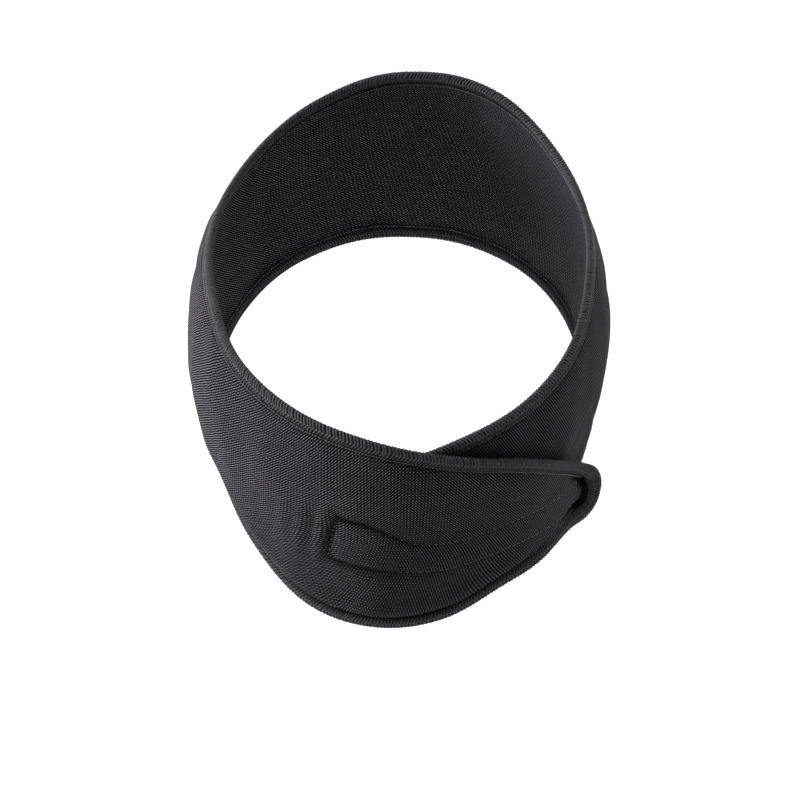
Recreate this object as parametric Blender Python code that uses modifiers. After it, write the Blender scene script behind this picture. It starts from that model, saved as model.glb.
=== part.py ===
# Mesh head wrap in its worn form: +X is the wearer's right, +Y the face, +Z up, metres.
# One strip of mesh cloth goes once round the head opening and its two tails overlap at the back.
# A point on the strip is given by its turn and its height. The turn is 0 at the middle of the back,
# grows to the outer tail's tip, and falls through the left, the front and the right to the inner tip.

import math

import bmesh
import bpy
import numpy as np

# Driving sizes, metres and degrees
OPENING_BREADTH = 0.161
OPENING_LENGTH = 0.200
FRONT_RISE = 0.041
BAND_WIDTH = 0.090
TIP_WIDTH = 0.020
TIP_CORNER_RADIUS = 0.009
OUTER_TIP_TURN = 70.0
INNER_TIP_TURN = -395.0
TIP_FLARE = 0.0045
TIP_FLARE_LENGTH = 0.016

CLOTH_THICKNESS = 0.0018
EDGE_THICKNESS = 0.0009
BINDING_WIDTH = 0.0050
BINDING_WALL = 0.00055
BINDING_CLEARANCE = 0.0004
TAPE_THICKNESS = 0.0012
TAPE_WIDTH = 0.016
TAPE_SIDE_MARGIN = 0.0015
TAPE_END_RISE = 0.009
TAPE_RISE_LENGTH = 0.026
TAPE_RISE_TO_END = 0.012
TAPE_END_SLANT = 0.22
HOOK_TAPE_LENGTH = 0.117
LOOP_TAPE_LENGTH = 0.080
LOOP_TAPE_SET_BACK = 0.010
GAP = 0.0003

# Plan form at each height. Heights are shares of BAND_WIDTH, the half-breadth is a share of half
# OPENING_BREADTH, and the reaches to the back and the front are shares of half OPENING_LENGTH.
LEVEL_COLUMNS = ("height", "breadth", "back", "front")
LEVELS = (
    (-0.80, 0.880, 0.815, 0.970),
    (-0.50, 0.885, 0.880, 0.985),
    (-0.22, 0.935, 0.920, 1.000),
    (0.06, 0.990, 0.990, 1.005),
    (0.33, 0.980, 1.005, 0.995),
    (0.61, 0.875, 0.930, 0.950),
    (0.89, 0.780, 0.825, 0.875),
)
FRONT_SQUARENESS = 2.4

# Course of the strip. The middle is a share of FRONT_RISE above the origin, and the fullness goes
# from 0 where the strip is TIP_WIDTH wide to 1 where it is BAND_WIDTH wide. The tails' rows are
# placed by their degrees from the tip.
TAIL_COLUMNS = ("from_tip", "middle", "fullness")
INNER_TAIL = (
    (0.0, -0.66, 0.00),
    (10.0, -0.61, 0.16),
    (25.0, -0.55, 0.49),
)
OUTER_TAIL = (
    (17.0, -0.67, 0.26),
    (0.0, -0.89, 0.00),
)
LOOP_COLUMNS = ("turn", "middle", "fullness")
LOOP = (
    (-345.0, -0.43, 0.78),
    (-325.0, -0.28, 0.83),
    (-304.0, -0.07, 0.86),
    (-280.0, 0.27, 0.83),
    (-262.0, 0.37, 0.80),
    (-240.0, 0.57, 0.80),
    (-210.0, 0.87, 0.88),
    (-180.0, 0.99, 0.86),
    (-150.0, 0.78, 0.81),
    (-120.0, 0.51, 0.76),
    (-92.0, 0.34, 0.74),
    (-63.0, 0.30, 0.70),
    (-44.0, -0.06, 0.85),
    (-25.0, -0.36, 1.00),
    (-5.0, -0.50, 1.00),
    (15.0, -0.55, 0.85),
    (35.0, -0.54, 0.55),
)

# The outer tail stands off the inner one by both tapes and the gaps between them. It has come out
# that far a little before the inner tail's tip, which lies a whole turn further on.
TAIL_STEP = CLOTH_THICKNESS + 2 * TAPE_THICKNESS + 3 * GAP
STEP_BEFORE_TIP = 10.0
STEP_RUN = 50.0

HOOK_TAPE_SHARE = 0.40
TAPE_DROP_LENGTH = 0.030
COLUMN_STEP = 5.0
CORNER_STEPS = 4
CORNER_LIMIT = 0.45
INNER_ROWS = 9
TAPE_ROWS = 5
TAPE_COLUMN_CLEAR = 0.002
TURN_STEP = 0.25
HEIGHT_STEP = 0.00025


def column(rows, names, name):
    """One named column of a table as an array."""
    return np.array(rows)[:, names.index(name)]


def smooth(x, xs, ys):
    """Cubic curve through a table, with each slope taken from the two neighbouring rows."""
    x = np.asarray(x, dtype=float)
    slopes = np.gradient(ys, xs)
    i = np.clip(np.searchsorted(xs, x) - 1, 0, len(xs) - 2)
    span = xs[i + 1] - xs[i]
    t = (x - xs[i]) / span
    low = (2 * t**3 - 3 * t**2 + 1) * ys[i] + (t**3 - 2 * t**2 + t) * span * slopes[i]
    high = (3 * t**2 - 2 * t**3) * ys[i + 1] + (t**3 - t**2) * span * slopes[i + 1]
    return low + high


def level(name, height):
    """A share from the plan form's table at a height."""
    heights = BAND_WIDTH * column(LEVELS, LEVEL_COLUMNS, "height")
    return smooth(height, heights, column(LEVELS, LEVEL_COLUMNS, name))


def plan_form(turn, height):
    """Point of the opening's form: an ellipse at the back and a squarer oval at the front."""
    angle = np.radians(turn)
    side = np.sin(angle)
    back = np.cos(angle)
    power = np.where(back > 0, 1.0, 2 / FRONT_SQUARENESS)
    reach = np.where(back > 0, level("back", height), level("front", height)) * OPENING_LENGTH / 2
    x = level("breadth", height) * OPENING_BREADTH / 2 * np.sign(side) * np.abs(side) ** power
    y = -reach * np.sign(back) * np.abs(back) ** power
    return np.stack([x, y, height + 0 * x], axis=-1)


def slopes_of(surface, turn, height):
    """How a surface moves for each degree of turn and for each metre of height."""
    by_turn = surface(turn + TURN_STEP, height) - surface(turn - TURN_STEP, height)
    by_height = surface(turn, height + HEIGHT_STEP) - surface(turn, height - HEIGHT_STEP)
    return by_turn / (2 * TURN_STEP), by_height / (2 * HEIGHT_STEP)


def unit(vectors):
    return vectors / np.linalg.norm(vectors, axis=-1, keepdims=True)


def outward(surface, turn, height):
    """Unit normal of a surface, away from the opening."""
    by_turn, by_height = slopes_of(surface, turn, height)
    return unit(np.cross(by_turn, by_height))


def ease(t):
    """Smooth rise from 0 to 1."""
    t = np.clip(t, 0.0, 1.0)
    return t * t * (3 - 2 * t)


def stand_off(turn):
    """How far the strip's middle lies out from the form: the outer tail's step and its tip's flare."""
    stepped_out = INNER_TIP_TURN + 360 - STEP_BEFORE_TIP
    step = TAIL_STEP * ease(1 + (turn - stepped_out) / STEP_RUN)
    to_tip = np.radians(OUTER_TIP_TURN - turn) * OPENING_BREADTH / 2
    flare = TIP_FLARE * np.maximum(0.0, 1 - to_tip / TIP_FLARE_LENGTH) ** 2
    return step + flare


def strip_middle(turn, height):
    """Point on the middle of the strip's wall."""
    return plan_form(turn, height) + stand_off(turn)[..., None] * outward(plan_form, turn, height)


def strip_point(turn, height, out):
    """Point at a distance out from the middle of the strip's wall."""
    return strip_middle(turn, height) + out * outward(strip_middle, turn, height)


def course(turn):
    """Middle height and width of the strip at a turn."""
    inner = INNER_TIP_TURN + column(INNER_TAIL, TAIL_COLUMNS, "from_tip")
    outer = OUTER_TIP_TURN - column(OUTER_TAIL, TAIL_COLUMNS, "from_tip")
    turns = np.concatenate([inner, column(LOOP, LOOP_COLUMNS, "turn"), outer])
    rows = INNER_TAIL + LOOP + OUTER_TAIL
    middle = FRONT_RISE * smooth(turn, turns, column(rows, LOOP_COLUMNS, "middle"))
    full = smooth(turn, turns, column(rows, LOOP_COLUMNS, "fullness"))
    return middle, TIP_WIDTH + full * (BAND_WIDTH - TIP_WIDTH)


def strip_lengths():
    """Turns from the outer tip to the inner one, and the length of the strip's middle up to each."""
    turns = np.linspace(OUTER_TIP_TURN, INNER_TIP_TURN, 1000)
    points = strip_middle(turns, course(turns)[0])
    steps = np.linalg.norm(np.diff(points, axis=0), axis=1)
    return turns, np.concatenate([[0.0], np.cumsum(steps)])


def turn_at(length):
    """Turn at a length along the strip from the outer tip."""
    turns, lengths = strip_lengths()
    return np.interp(length, lengths, turns)


def strip_columns():
    """Length and corner inset of each column: the round corners' columns and even turns between."""
    turns, lengths = strip_lengths()
    total = lengths[-1]
    radius = min(TIP_CORNER_RADIUS, CORNER_LIMIT * TIP_WIDTH)
    arc = np.radians(np.linspace(0, 90, CORNER_STEPS + 1))
    from_end = radius * (1 - np.cos(arc))
    corner_inset = radius * (1 - np.sin(arc))
    every = COLUMN_STEP * np.arange(math.ceil(INNER_TIP_TURN / COLUMN_STEP), OUTER_TIP_TURN / COLUMN_STEP)
    even = np.interp(-every[::-1], -turns, lengths)
    clear = radius * (1 + 1 / CORNER_STEPS)
    even = even[(even > clear) & (even < total - clear)]
    along = np.concatenate([from_end, even, total - from_end[::-1]])
    insets = np.concatenate([corner_inset, 0 * even, corner_inset[::-1]])
    return along, insets


def strip_grid():
    """Turn, height and weight of each grid point. The weight is 0 where the edge presses the cloth
    thin, and 1 elsewhere. Rows stay at fixed distances from both edges, nearer on the narrow tips."""
    along, insets = strip_columns()
    turns = turn_at(along)
    middle, width = course(turns)
    low = middle - width / 2 + insets
    width = width - 2 * insets
    pressed = BINDING_WIDTH + BINDING_CLEARANCE
    full = pressed + CLOTH_THICKNESS
    near = np.minimum(1.0, width / (3 * full))
    shares = np.linspace(0, 1, INNER_ROWS)
    inner = full * near + shares[:, None] * (width - 2 * full * near)
    rows = np.vstack([0 * width, pressed * near, inner, width - pressed * near, width])
    to_end = np.minimum(along, along[-1] - along)
    weight = np.zeros_like(rows)
    weight[2:-2] = (near >= 1.0) & (to_end >= full)
    return turns + 0 * rows, low + rows, weight


def grid_mesh(name, points, close=False):
    """A grid of faces with its vertices moved to the given rows and columns of points."""
    rows, columns = points.shape[:2]
    bm = bmesh.new()
    bmesh.ops.create_grid(bm, x_segments=columns - 1, y_segments=rows - 1, size=0.5)
    for vertex in bm.verts:
        i = round((vertex.co.x + 0.5) * (columns - 1))
        j = round((vertex.co.y + 0.5) * (rows - 1))
        vertex.co = points[j, i]
    if close:
        bmesh.ops.remove_doubles(bm, verts=bm.verts, dist=1e-6)
    bmesh.ops.triangulate(bm, faces=bm.faces, quad_method="SHORT_EDGE")
    mesh = bpy.data.meshes.new(name)
    bm.to_mesh(mesh)
    bm.free()
    return mesh


def add_piece(collection, name, mesh, thickness, material):
    """An object with a wall grown evenly to both sides of its surface."""
    mesh.shade_smooth()
    mesh.materials.append(material)
    piece = bpy.data.objects.new(name, mesh)
    collection.objects.link(piece)
    wall = piece.modifiers.new("wall", "SOLIDIFY")
    wall.thickness = thickness
    wall.offset = 0.0
    return piece, wall


def make_material(name, color, roughness, sheen):
    material = bpy.data.materials.new(name)
    material.use_nodes = True
    shader = material.node_tree.nodes["Principled BSDF"]
    shader.inputs["Base Color"].default_value = (*color, 1.0)
    shader.inputs["Roughness"].default_value = roughness
    shader.inputs["Metallic"].default_value = 0.0
    shader.inputs["Sheen Weight"].default_value = sheen
    return material


def build_band(collection):
    """The strip of mesh cloth, thinner along the edge where the overlock stitches press it."""
    turns, heights, weights = strip_grid()
    mesh = grid_mesh("mesh_band", strip_middle(turns, heights))
    material = make_material("black_mesh_cloth", (0.016, 0.016, 0.017), 0.85, 0.15)
    piece, wall = add_piece(collection, "mesh_band", mesh, CLOTH_THICKNESS, material)
    group = piece.vertex_groups.new(name="full_thickness")
    points = strip_middle(turns, heights).reshape(-1, 3)
    for vertex in mesh.vertices:
        nearest = np.argmin(np.sum((points - np.array(vertex.co)) ** 2, axis=1))
        group.add([vertex.index], float(weights.reshape(-1)[nearest]), "REPLACE")
    wall.vertex_group = "full_thickness"
    wall.thickness_vertex_group = EDGE_THICKNESS / CLOTH_THICKNESS


def edge_outline():
    """Turns and heights once round the strip's edge: along its lower edge and back along the upper."""
    turns, heights, _ = strip_grid()
    turn = np.concatenate([turns[0], turns[-1][::-1]])
    height = np.concatenate([heights[0], heights[-1][::-1]])
    return turn, height


def shifted(turn, height, move):
    """Turn and height that lie at a small move in space from a point of the strip."""
    by_turn, by_height = slopes_of(strip_middle, turn, height)
    tt = np.sum(by_turn * by_turn, axis=-1)
    th = np.sum(by_turn * by_height, axis=-1)
    hh = np.sum(by_height * by_height, axis=-1)
    mt = np.sum(move * by_turn, axis=-1)
    mh = np.sum(move * by_height, axis=-1)
    spread = tt * hh - th * th
    return turn + (hh * mt - th * mh) / spread, height + (tt * mh - th * mt) / spread


def build_binding(collection):
    """The overlocked edge: a channel folded over the strip's edge, closed all round."""
    turn, height = edge_outline()
    edge = strip_middle(turn, height)
    along = unit(np.roll(edge, -1, axis=0) - np.roll(edge, 1, axis=0))
    away = unit(np.cross(along, outward(strip_middle, turn, height)))
    away = away * np.sign(np.sum(away[0] * (edge[0] - edge[1])))
    face = EDGE_THICKNESS / 2 + BINDING_CLEARANCE + BINDING_WALL / 2
    fold = BINDING_CLEARANCE + BINDING_WALL / 2
    lip = BINDING_WIDTH - fold
    profile = ((-lip, face), (0.0, face), (fold, face / 2), (fold, -face / 2), (0.0, -face), (-lip, -face))
    rows = []
    for reach, out in profile:
        moved_turn, moved_height = shifted(turn, height, reach * away)
        row = strip_point(moved_turn, moved_height, out)
        rows.append(np.vstack([row, row[:1]]))
    mesh = grid_mesh("edge_binding", np.array(rows), close=True)
    material = make_material("black_overlock_thread", (0.020, 0.020, 0.022), 0.6, 0.1)
    piece, wall = add_piece(collection, "edge_binding", mesh, BINDING_WALL, material)
    wall.use_even_offset = True


def tape_start():
    """Length from the outer tip at which the strip is wide enough for the tape between its edges."""
    turns, lengths = strip_lengths()
    needed = TAPE_WIDTH + 2 * (BINDING_WIDTH + TAPE_SIDE_MARGIN)
    return lengths[np.argmax(course(turns)[1] >= needed)]


def tape_grid(start, end, turn_offset, out):
    """Grid of a tape between two lengths along the outer tail, on the tail that lies at turn_offset.
    Its middle leaves the strip's middle at the tip end and comes to HOOK_TAPE_SHARE of the width. Near
    its other end the upper edge has risen by TAPE_END_RISE, and the end is cut at a slant."""
    shortest = end - TAPE_END_SLANT * (TAPE_WIDTH / 2 + TAPE_END_RISE)
    columns = strip_columns()[0]
    between = columns[(columns > start + TAPE_COLUMN_CLEAR) & (columns < shortest - TAPE_COLUMN_CLEAR)]
    lengths = np.concatenate([[start], between, [end]])
    rise = TAPE_END_RISE * ease(1 + (lengths - end + TAPE_RISE_TO_END) / TAPE_RISE_LENGTH)
    shares = np.linspace(0, 1, TAPE_ROWS)
    across = shares[:, None] * (TAPE_WIDTH + rise) - TAPE_WIDTH / 2
    lengths = lengths + 0 * across
    lengths[:, -1] -= TAPE_END_SLANT * across[:, -1]
    turns = turn_at(lengths)
    middle, width = course(turns)
    drop = ease((lengths - tape_start()) / TAPE_DROP_LENGTH)
    heights = middle + drop * (HOOK_TAPE_SHARE - 0.5) * width + across
    return strip_point(turns + turn_offset, heights, out)


def build_tapes(collection):
    """Hook tape on the inner face of the outer tail, and loop tape on the outer face of the inner."""
    off_cloth = CLOTH_THICKNESS / 2 + GAP + TAPE_THICKNESS / 2
    hook_start = tape_start()
    hook_end = hook_start + HOOK_TAPE_LENGTH
    loop_end = hook_end - LOOP_TAPE_SET_BACK
    hooks = tape_grid(hook_start, hook_end, 0.0, -off_cloth)
    loops = tape_grid(loop_end - LOOP_TAPE_LENGTH, loop_end, -360.0, off_cloth)
    hook_material = make_material("black_hook_tape", (0.014, 0.014, 0.015), 0.5, 0.0)
    loop_material = make_material("black_loop_tape", (0.018, 0.018, 0.019), 0.9, 0.3)
    add_piece(collection, "hook_tape", grid_mesh("hook_tape", hooks), TAPE_THICKNESS, hook_material)
    add_piece(collection, "loop_tape", grid_mesh("loop_tape", loops), TAPE_THICKNESS, loop_material)


def main():
    for old in list(bpy.data.objects):
        bpy.data.objects.remove(old, do_unlink=True)
    collection = bpy.data.collections.new("mesh_head_wrap")
    bpy.context.scene.collection.children.link(collection)
    build_band(collection)
    build_binding(collection)
    build_tapes(collection)


main()
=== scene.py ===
import math

import bpy
import numpy as np
from mathutils import Matrix, Vector


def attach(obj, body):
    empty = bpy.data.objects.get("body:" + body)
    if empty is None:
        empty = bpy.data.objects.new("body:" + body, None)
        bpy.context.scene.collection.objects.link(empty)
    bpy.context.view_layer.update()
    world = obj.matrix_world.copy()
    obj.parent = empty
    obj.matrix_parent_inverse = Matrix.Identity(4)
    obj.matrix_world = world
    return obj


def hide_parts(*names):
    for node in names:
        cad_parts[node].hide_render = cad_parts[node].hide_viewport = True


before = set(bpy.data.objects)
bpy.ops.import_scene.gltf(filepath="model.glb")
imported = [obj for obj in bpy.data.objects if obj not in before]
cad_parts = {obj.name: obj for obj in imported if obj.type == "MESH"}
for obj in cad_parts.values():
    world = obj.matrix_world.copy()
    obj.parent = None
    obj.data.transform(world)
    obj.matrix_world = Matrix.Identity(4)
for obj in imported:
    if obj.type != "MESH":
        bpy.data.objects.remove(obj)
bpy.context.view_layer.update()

# ---- Camera ----
# The wrap is seen from behind, from 30 degrees above its level and a little to its right, through a long
# lens. It looks a little under the middle of the opening, so that the whole wrap is in the picture.
CAMERA_DISTANCE = 1.2
CAMERA_ELEVATION = math.radians(30.0)
CAMERA_YAW = math.radians(1.15)
CAMERA_ROLL = math.radians(1.26)
CAMERA_DIP = math.radians(0.822)
CAMERA_LENS = 138.06
CAMERA_SENSOR = 36.0
CAMERA_SEES = (0.05, 20.0)

backward = Vector((
    math.sin(CAMERA_YAW) * math.cos(CAMERA_ELEVATION),
    -math.cos(CAMERA_YAW) * math.cos(CAMERA_ELEVATION),
    math.sin(CAMERA_ELEVATION),
))
rightward = Vector((math.cos(CAMERA_YAW), math.sin(CAMERA_YAW), 0.0))
facing = Matrix((rightward, backward.cross(rightward), backward)).transposed().to_4x4()
camera_data = bpy.data.cameras.new("camera")
camera_data.lens = CAMERA_LENS
camera_data.sensor_width = CAMERA_SENSOR
camera_data.clip_start, camera_data.clip_end = CAMERA_SEES
camera = bpy.data.objects.new("camera", camera_data)
bpy.context.scene.collection.objects.link(camera)
camera.matrix_world = (
    Matrix.Translation(CAMERA_DISTANCE * backward)
    @ facing
    @ Matrix.Rotation(CAMERA_ROLL, 4, "Z")
    @ Matrix.Rotation(-CAMERA_DIP, 4, "X")
)
bpy.context.scene.camera = camera
bpy.context.scene.view_settings.view_transform = "Standard"


# ---- Floor and light ----
# A plain white floor some way below the wrap. A large soft light stands at the left and a weaker one at the
# right, a still larger one hangs above and lights the floor, and the room's own light fills the shadows.
FLOOR_HEIGHT = -0.20
FLOOR_SIZE = 8.0
FLOOR_COLOR = (0.96, 0.96, 0.96, 1.0)
FLOOR_ROUGHNESS = 0.9
ROOM_LIGHT = 0.22
LIGHT_COLUMNS = ("name", "place", "size", "power", "color")
LIGHTS = (
    ("left_light", (-1.6, 0.05, 0.45), 0.8, 48.0, (0.95, 0.94, 1.0)),
    ("right_light", (1.35, 1.0, 0.45), 0.7, 19.0, (1.0, 0.97, 0.95)),
    ("top_light", (-0.2, 0.8, 1.8), 1.6, 18.5, (1.0, 1.0, 1.0)),
)


def add_light(name, place, size, power, color):
    """A square soft light that faces the middle of the opening."""
    data = bpy.data.lights.new(name, "AREA")
    data.size = size
    data.energy = power
    data.color = color
    light = bpy.data.objects.new(name, data)
    light.location = place
    light.rotation_euler = Vector(place).to_track_quat("Z", "Y").to_euler()
    bpy.context.scene.collection.objects.link(light)


for row in LIGHTS:
    add_light(**dict(zip(LIGHT_COLUMNS, row)))

room = bpy.data.worlds.new("room")
room.use_nodes = True
room_light = room.node_tree.nodes["Background"]
room_light.inputs["Color"].default_value = (1.0, 1.0, 1.0, 1.0)
room_light.inputs["Strength"].default_value = ROOM_LIGHT
bpy.context.scene.world = room

floor_mesh = bpy.data.meshes.new("floor")
half = FLOOR_SIZE / 2
floor_corners = [(-half, -half), (half, -half), (half, half), (-half, half)]
floor_mesh.from_pydata([(x, y, FLOOR_HEIGHT) for x, y in floor_corners], [], [(0, 1, 2, 3)])
floor = bpy.data.objects.new("floor", floor_mesh)
bpy.context.scene.collection.objects.link(floor)
floor_paint = bpy.data.materials.new("white_floor")
floor_paint.use_nodes = True
floor_shader = floor_paint.node_tree.nodes["Principled BSDF"]
floor_shader.inputs["Base Color"].default_value = FLOOR_COLOR
floor_shader.inputs["Roughness"].default_value = FLOOR_ROUGHNESS
floor_shader.inputs["Specular IOR Level"].default_value = 0.0
floor_mesh.materials.append(floor_paint)


# ---- Mesh cloth ----
# One long strip of black warp-knitted mesh with rows of small open holes, cut narrower towards both tips. It
# is worn as a ring, a little stretched, and the tail on the left comes over the other one at the back. The
# cloth dips beside the edge stitches and round the hook tape that is sewn behind the tail.
OPENING_BREADTH = 0.161
OPENING_LENGTH = 0.200
FRONT_RISE = 0.041
BAND_WIDTH = 0.090
TIP_WIDTH = 0.020
TIP_CORNER_RADIUS = 0.009
OUTER_TIP_TURN = 70.0
INNER_TIP_TURN = -395.0
TIP_FLARE = 0.0045
TIP_FLARE_LENGTH = 0.016
CLOTH_THICKNESS = 0.0018
BINDING_WIDTH = 0.0050
EDGE_WIDTH = 0.0038
TAPE_THICKNESS = 0.0012
TAPE_WIDTH = 0.016
TAPE_SIDE_MARGIN = 0.0015
TAPE_END_RISE = 0.009
TAPE_RISE_LENGTH = 0.026
TAPE_RISE_TO_END = 0.012
TAPE_END_SLANT = 0.22
TAPE_STITCH_INSET = 0.0015
HOOK_TAPE_LENGTH = 0.117
HOOK_TAPE_SHARE = 0.40
TAPE_DROP_LENGTH = 0.030
GAP = 0.0003
FRONT_SQUARENESS = 2.4
TAIL_STEP = CLOTH_THICKNESS + 2 * TAPE_THICKNESS + 3 * GAP
STEP_BEFORE_TIP = 10.0
STEP_RUN = 50.0
TURN_STEP = 0.25
HEIGHT_STEP = 0.00025
COURSE_POINTS = 2000

# Plan form at each height: heights are shares of BAND_WIDTH, the rest are shares of half an opening size.
LEVEL_COLUMNS = ("height", "breadth", "back", "front")
LEVELS = (
    (-0.80, 0.880, 0.815, 0.970),
    (-0.50, 0.885, 0.880, 0.985),
    (-0.22, 0.935, 0.920, 1.000),
    (0.06, 0.990, 0.990, 1.005),
    (0.33, 0.980, 1.005, 0.995),
    (0.61, 0.875, 0.930, 0.950),
    (0.89, 0.780, 0.825, 0.875),
)

# Course of the strip, from the inner tip to the outer one: the middle is a share of FRONT_RISE, and the
# fullness goes from 0 at TIP_WIDTH to 1 at BAND_WIDTH.
COURSE_COLUMNS = ("turn", "middle", "fullness")
COURSE = (
    (INNER_TIP_TURN, -0.66, 0.00),
    (INNER_TIP_TURN + 10, -0.61, 0.16),
    (INNER_TIP_TURN + 25, -0.55, 0.49),
    (-345.0, -0.43, 0.78),
    (-325.0, -0.28, 0.83),
    (-304.0, -0.07, 0.86),
    (-280.0, 0.27, 0.83),
    (-262.0, 0.37, 0.80),
    (-240.0, 0.57, 0.80),
    (-210.0, 0.87, 0.88),
    (-180.0, 0.99, 0.86),
    (-150.0, 0.78, 0.81),
    (-120.0, 0.51, 0.76),
    (-92.0, 0.34, 0.74),
    (-63.0, 0.30, 0.70),
    (-44.0, -0.06, 0.85),
    (-25.0, -0.36, 1.00),
    (-5.0, -0.50, 1.00),
    (15.0, -0.55, 0.85),
    (35.0, -0.54, 0.55),
    (OUTER_TIP_TURN - 17, -0.67, 0.26),
    (OUTER_TIP_TURN, -0.89, 0.00),
)


def column(rows, names, name):
    """One named column of a table as an array."""
    return np.array([row[names.index(name)] for row in rows], dtype=float)


def smooth(x, xs, ys):
    """Cubic curve through a table, with each slope taken from the two neighbouring rows."""
    x = np.asarray(x, dtype=float)
    slopes = np.gradient(ys, xs)
    i = np.clip(np.searchsorted(xs, x) - 1, 0, len(xs) - 2)
    span = xs[i + 1] - xs[i]
    t = (x - xs[i]) / span
    low = (2 * t**3 - 3 * t**2 + 1) * ys[i] + (t**3 - 2 * t**2 + t) * span * slopes[i]
    high = (3 * t**2 - 2 * t**3) * ys[i + 1] + (t**3 - t**2) * span * slopes[i + 1]
    return low + high


def level(name, height):
    """A share from the plan form's table at a height."""
    heights = BAND_WIDTH * column(LEVELS, LEVEL_COLUMNS, "height")
    return smooth(height, heights, column(LEVELS, LEVEL_COLUMNS, name))


def plan_form(turn, height):
    """Point of the opening's form: an ellipse at the back and a squarer oval at the front."""
    angle = np.radians(turn)
    side = np.sin(angle)
    back = np.cos(angle)
    power = np.where(back > 0, 1.0, 2 / FRONT_SQUARENESS)
    reach = np.where(back > 0, level("back", height), level("front", height)) * OPENING_LENGTH / 2
    x = level("breadth", height) * OPENING_BREADTH / 2 * np.sign(side) * np.abs(side) ** power
    y = -reach * np.sign(back) * np.abs(back) ** power
    return np.stack([x, y, height + 0 * x], axis=-1)


def unit(vectors):
    return vectors / np.linalg.norm(vectors, axis=-1, keepdims=True)


def slopes_of(surface, turn, height):
    """How a surface moves for each degree of turn and for each metre of height."""
    by_turn = surface(turn + TURN_STEP, height) - surface(turn - TURN_STEP, height)
    by_height = surface(turn, height + HEIGHT_STEP) - surface(turn, height - HEIGHT_STEP)
    return by_turn / (2 * TURN_STEP), by_height / (2 * HEIGHT_STEP)


def outward(surface, turn, height):
    """Unit normal of a surface, away from the opening."""
    return unit(np.cross(*slopes_of(surface, turn, height)))


def ease(t):
    """Smooth rise from 0 to 1."""
    t = np.clip(t, 0.0, 1.0)
    return t * t * (3 - 2 * t)


def bell(x, middle, spread):
    """Smooth bump of height 1 at the middle, which falls to a third at one spread from it."""
    return np.exp(-(((x - middle) / spread) ** 2))


def stand_off(turn):
    """How far the strip's middle lies out from the form: the outer tail's step and its tip's flare."""
    stepped_out = INNER_TIP_TURN + 360 - STEP_BEFORE_TIP
    step = TAIL_STEP * ease(1 + (turn - stepped_out) / STEP_RUN)
    to_tip = np.radians(OUTER_TIP_TURN - turn) * OPENING_BREADTH / 2
    flare = TIP_FLARE * np.maximum(0.0, 1 - to_tip / TIP_FLARE_LENGTH) ** 2
    return step + flare


def strip_middle(turn, height):
    """Point on the middle of the strip's wall."""
    return plan_form(turn, height) + stand_off(turn)[..., None] * outward(plan_form, turn, height)


def course(turn):
    """Middle height and width of the strip at a turn."""
    turns = column(COURSE, COURSE_COLUMNS, "turn")
    middle = FRONT_RISE * smooth(turn, turns, column(COURSE, COURSE_COLUMNS, "middle"))
    full = smooth(turn, turns, column(COURSE, COURSE_COLUMNS, "fullness"))
    return middle, TIP_WIDTH + full * (BAND_WIDTH - TIP_WIDTH)


def running_sum(steps):
    return np.concatenate([[0.0], np.cumsum(steps)])


# Turns along the strip, and its length up to each from the outer tip.
course_turns = np.linspace(OUTER_TIP_TURN, INNER_TIP_TURN, COURSE_POINTS)
course_points = strip_middle(course_turns, course(course_turns)[0])
course_steps = np.linalg.norm(np.diff(course_points, axis=0), axis=1)
course_lengths = running_sum(course_steps)
STRIP_LENGTH = course_lengths[-1]


def turn_at(length):
    """Turn at a length along the strip from the outer tip."""
    return np.interp(length, course_lengths, course_turns)


def length_at(turn):
    """Length along the strip from the outer tip at a turn."""
    return np.interp(-turn, -course_turns, course_lengths)


tape_needs = TAPE_WIDTH + 2 * (BINDING_WIDTH + TAPE_SIDE_MARGIN)
TAPE_START = course_lengths[np.argmax(course(course_turns)[1] >= tape_needs)]
TAPE_END = TAPE_START + HOOK_TAPE_LENGTH


def tape_centre(turn):
    """Height of the tape's middle. It leaves the strip's middle at the tip and comes to its own share."""
    middle, width = course(turn)
    drop = ease((length_at(turn) - TAPE_START) / TAPE_DROP_LENGTH)
    return middle + drop * (HOOK_TAPE_SHARE - 0.5) * width


def tape_rise(length, tape_end):
    """How much higher the tape's upper edge lies at a length than near the tip. It rises before its end."""
    return TAPE_END_RISE * ease(1 + (length - tape_end + TAPE_RISE_TO_END) / TAPE_RISE_LENGTH)


def past_end(turn, height):
    """How far a place lies past the slanted stitches at the hook tape's end."""
    slanted = TAPE_END_SLANT * (height - tape_centre(turn))
    return length_at(turn) - (TAPE_END - TAPE_STITCH_INSET - slanted)


def seam_distance(turn, height):
    """Distance to the line of stitches that goes round the hook tape, a little inside its edge. It is less
    than 0 inside the line. The tape's end is slanted."""
    length = length_at(turn)
    over = height - tape_centre(turn)
    half = TAPE_WIDTH / 2 - TAPE_STITCH_INSET
    across = np.maximum(over - half - tape_rise(length, TAPE_END), -half - over)
    before = TAPE_START + TAPE_STITCH_INSET - length
    return np.maximum(np.maximum(across, before), past_end(turn, height))


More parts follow.
